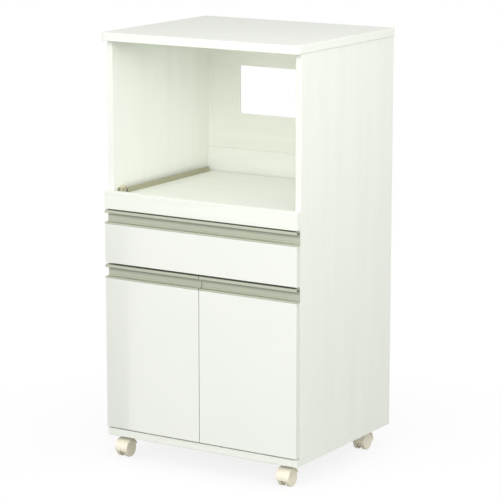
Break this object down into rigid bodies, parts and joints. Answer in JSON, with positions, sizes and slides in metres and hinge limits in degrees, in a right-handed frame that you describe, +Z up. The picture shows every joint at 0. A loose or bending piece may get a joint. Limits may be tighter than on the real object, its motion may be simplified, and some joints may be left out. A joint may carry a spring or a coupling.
{
  "type": "microwave cart",
  "caption": "White microwave cart on swivel casters: open oven bay with a pull-out table, full-width drawer and a cupboard with twin doors, with recessed channel grips.",
  "frame": {"origin": "on the floor, under the middle of the top board", "axes": "+X to the right seen from the front, +Y towards the back, +Z up"},
  "size_m": [0.486, 0.406, 0.93],
  "materials": {
    "white_board": "particle board under white wood-grain foil, satin",
    "gloss_front": "fibreboard under white high-gloss foil",
    "grip_aluminium": "champagne anodised extrusion, satin",
    "back_hardboard": "thin hardboard under white foil, satin",
    "caster_nylon": "ivory nylon, satin",
    "zinc_steel": "zinc plated",
    "hinge_nickel": "nickel plated, satin",
    "runner_enamel": "beige epoxy coating, satin",
    "roller_nylon": "cream nylon",
    "buffer_rubber": "soft translucent white"
  },
  "bodies": {
    "cabinet": {"top_board": "white_board", "side_panel_left": "white_board", "side_panel_right": "white_board", "base_board": "white_board", "back_stretcher": "white_board", "partition_board": "white_board", "back_panel_upper": "back_hardboard", "back_panel_lower": "back_hardboard", "cupboard_shelf": "white_board", "shelf_pins": "zinc_steel", "cam_locks": "zinc_steel", "base_screws": "zinc_steel", "front_buffers": "buffer_rubber", "table_rails": "runner_enamel", "drawer_rails": "runner_enamel", "rail_pins": "zinc_steel", "hinge_plates": "hinge_nickel", "hinge_arms": "hinge_nickel", "caster_plates": "zinc_steel", "caster_plate_screws": "zinc_steel"},
    "table": {"table_board": "white_board", "table_fascia": "white_board", "table_runners": "runner_enamel", "table_runner_pins": "zinc_steel"},
    "table_front_rollers": {"table_front_rollers": "roller_nylon"},
    "table_rear_rollers": {"table_rear_rollers": "roller_nylon"},
    "drawer": {"drawer_front": "gloss_front", "drawer_grip": "grip_aluminium", "drawer_side_left": "white_board", "drawer_side_right": "white_board", "drawer_back": "white_board", "drawer_floor": "back_hardboard", "drawer_runners": "runner_enamel", "drawer_runner_pins": "zinc_steel"},
    "drawer_front_rollers": {"drawer_front_rollers": "roller_nylon"},
    "drawer_rear_rollers": {"drawer_rear_rollers": "roller_nylon"},
    "hinge_levers_left": {"hinge_levers_left": "hinge_nickel"},
    "door_left": {"door_left": "gloss_front", "door_grip_left": "grip_aluminium", "hinge_cups_left": "hinge_nickel"},
    "hinge_levers_right": {"hinge_levers_right": "hinge_nickel"},
    "door_right": {"door_right": "gloss_front", "door_grip_right": "grip_aluminium", "hinge_cups_right": "hinge_nickel"},
    "caster_front_left": {"caster_hood_front_left": "caster_nylon", "caster_axle_front_left": "zinc_steel"},
    "caster_wheel_front_left_left": {"caster_wheel_front_left_left": "caster_nylon"},
    "caster_wheel_front_left_right": {"caster_wheel_front_left_right": "caster_nylon"},
    "caster_front_right": {"caster_hood_front_right": "caster_nylon", "caster_axle_front_right": "zinc_steel"},
    "caster_wheel_front_right_left": {"caster_wheel_front_right_left": "caster_nylon"},
    "caster_wheel_front_right_right": {"caster_wheel_front_right_right": "caster_nylon"},
    "caster_rear_left": {"caster_hood_rear_left": "caster_nylon", "caster_axle_rear_left": "zinc_steel"},
    "caster_wheel_rear_left_left": {"caster_wheel_rear_left_left": "caster_nylon"},
    "caster_wheel_rear_left_right": {"caster_wheel_rear_left_right": "caster_nylon"},
    "caster_rear_right": {"caster_hood_rear_right": "caster_nylon", "caster_axle_rear_right": "zinc_steel"},
    "caster_wheel_rear_right_left": {"caster_wheel_rear_right_left": "caster_nylon"},
    "caster_wheel_rear_right_right": {"caster_wheel_rear_right_right": "caster_nylon"}
  },
  "joints": [
    {"name": "table_slide", "type": "slide", "parent": "cabinet", "child": "table", "axis": [0, -1, 0], "range_m": [0, 0.25]},
    {"name": "drawer_slide", "type": "slide", "parent": "cabinet", "child": "drawer", "axis": [0, -1, 0], "range_m": [0, 0.25]},
    {"name": "table_front_rollers_spin", "type": "hinge", "parent": "cabinet", "child": "table_front_rollers", "pos_m": [0, -0.153, 0.585], "axis": [1, 0, 0], "continuous": true},
    {"name": "table_rear_rollers_spin", "type": "hinge", "parent": "table", "child": "table_rear_rollers", "pos_m": [0, 0.158, 0.573], "axis": [1, 0, 0], "continuous": true},
    {"name": "drawer_front_rollers_spin", "type": "hinge", "parent": "cabinet", "child": "drawer_front_rollers", "pos_m": [0, -0.153, 0.456], "axis": [1, 0, 0], "continuous": true},
    {"name": "drawer_rear_rollers_spin", "type": "hinge", "parent": "drawer", "child": "drawer_rear_rollers", "pos_m": [0, 0.158, 0.444], "axis": [1, 0, 0], "continuous": true},
    {"name": "door_left_arm_pins", "type": "hinge", "parent": "cabinet", "child": "hinge_levers_left", "pos_m": [-0.206, -0.182, 0.233], "axis": [0, 0, -1], "range_deg": [-31.4, 0]},
    {"name": "door_left_cup_pins", "type": "hinge", "parent": "hinge_levers_left", "child": "door_left", "pos_m": [-0.23, -0.191, 0.233], "axis": [0, 0, -1], "range_deg": [0, 126.35]},
    {"name": "door_right_arm_pins", "type": "hinge", "parent": "cabinet", "child": "hinge_levers_right", "pos_m": [0.206, -0.182, 0.233], "axis": [0, 0, 1], "range_deg": [-31.4, 0]},
    {"name": "door_right_cup_pins", "type": "hinge", "parent": "hinge_levers_right", "child": "door_right", "pos_m": [0.23, -0.191, 0.233], "axis": [0, 0, 1], "range_deg": [0, 126.35]},
    {"name": "caster_front_left_swivel", "type": "hinge", "parent": "cabinet", "child": "caster_front_left", "pos_m": [-0.206, -0.164, 0.044], "axis": [0, 0, 1], "continuous": true},
    {"name": "caster_front_left_left_wheel_spin", "type": "hinge", "parent": "caster_front_left", "child": "caster_wheel_front_left_left", "pos_m": [-0.206, -0.178, 0.0192], "axis": [1, 0, 0], "continuous": true},
    {"name": "caster_front_left_right_wheel_spin", "type": "hinge", "parent": "caster_front_left", "child": "caster_wheel_front_left_right", "pos_m": [-0.206, -0.178, 0.0192], "axis": [1, 0, 0], "continuous": true},
    {"name": "caster_front_right_swivel", "type": "hinge", "parent": "cabinet", "child": "caster_front_right", "pos_m": [0.206, -0.164, 0.044], "axis": [0, 0, 1], "continuous": true},
    {"name": "caster_front_right_left_wheel_spin", "type": "hinge", "parent": "caster_front_right", "child": "caster_wheel_front_right_left", "pos_m": [0.206, -0.178, 0.0192], "axis": [1, 0, 0], "continuous": true},
    {"name": "caster_front_right_right_wheel_spin", "type": "hinge", "parent": "caster_front_right", "child": "caster_wheel_front_right_right", "pos_m": [0.206, -0.178, 0.0192], "axis": [1, 0, 0], "continuous": true},
    {"name": "caster_rear_left_swivel", "type": "hinge", "parent": "cabinet", "child": "caster_rear_left", "pos_m": [-0.206, 0.13, 0.044], "axis": [0, 0, 1], "continuous": true},
    {"name": "caster_rear_left_left_wheel_spin", "type": "hinge", "parent": "caster_rear_left", "child": "caster_wheel_rear_left_left", "pos_m": [-0.206, 0.144, 0.0192], "axis": [1, 0, 0], "continuous": true},
    {"name": "caster_rear_left_right_wheel_spin", "type": "hinge", "parent": "caster_rear_left", "child": "caster_wheel_rear_left_right", "pos_m": [-0.206, 0.144, 0.0192], "axis": [1, 0, 0], "continuous": true},
    {"name": "caster_rear_right_swivel", "type": "hinge", "parent": "cabinet", "child": "caster_rear_right", "pos_m": [0.206, 0.13, 0.044], "axis": [0, 0, 1], "continuous": true},
    {"name": "caster_rear_right_left_wheel_spin", "type": "hinge", "parent": "caster_rear_right", "child": "caster_wheel_rear_right_left", "pos_m": [0.206, 0.144, 0.0192], "axis": [1, 0, 0], "continuous": true},
    {"name": "caster_rear_right_right_wheel_spin", "type": "hinge", "parent": "caster_rear_right", "child": "caster_wheel_rear_right_right", "pos_m": [0.206, 0.144, 0.0192], "axis": [1, 0, 0], "continuous": true}
  ],
  "couplings": [
    {"joint": "door_left_arm_pins", "follows": "door_left_cup_pins", "ratio": -0.24812},
    {"joint": "door_right_arm_pins", "follows": "door_right_cup_pins", "ratio": -0.24812}
  ]
}
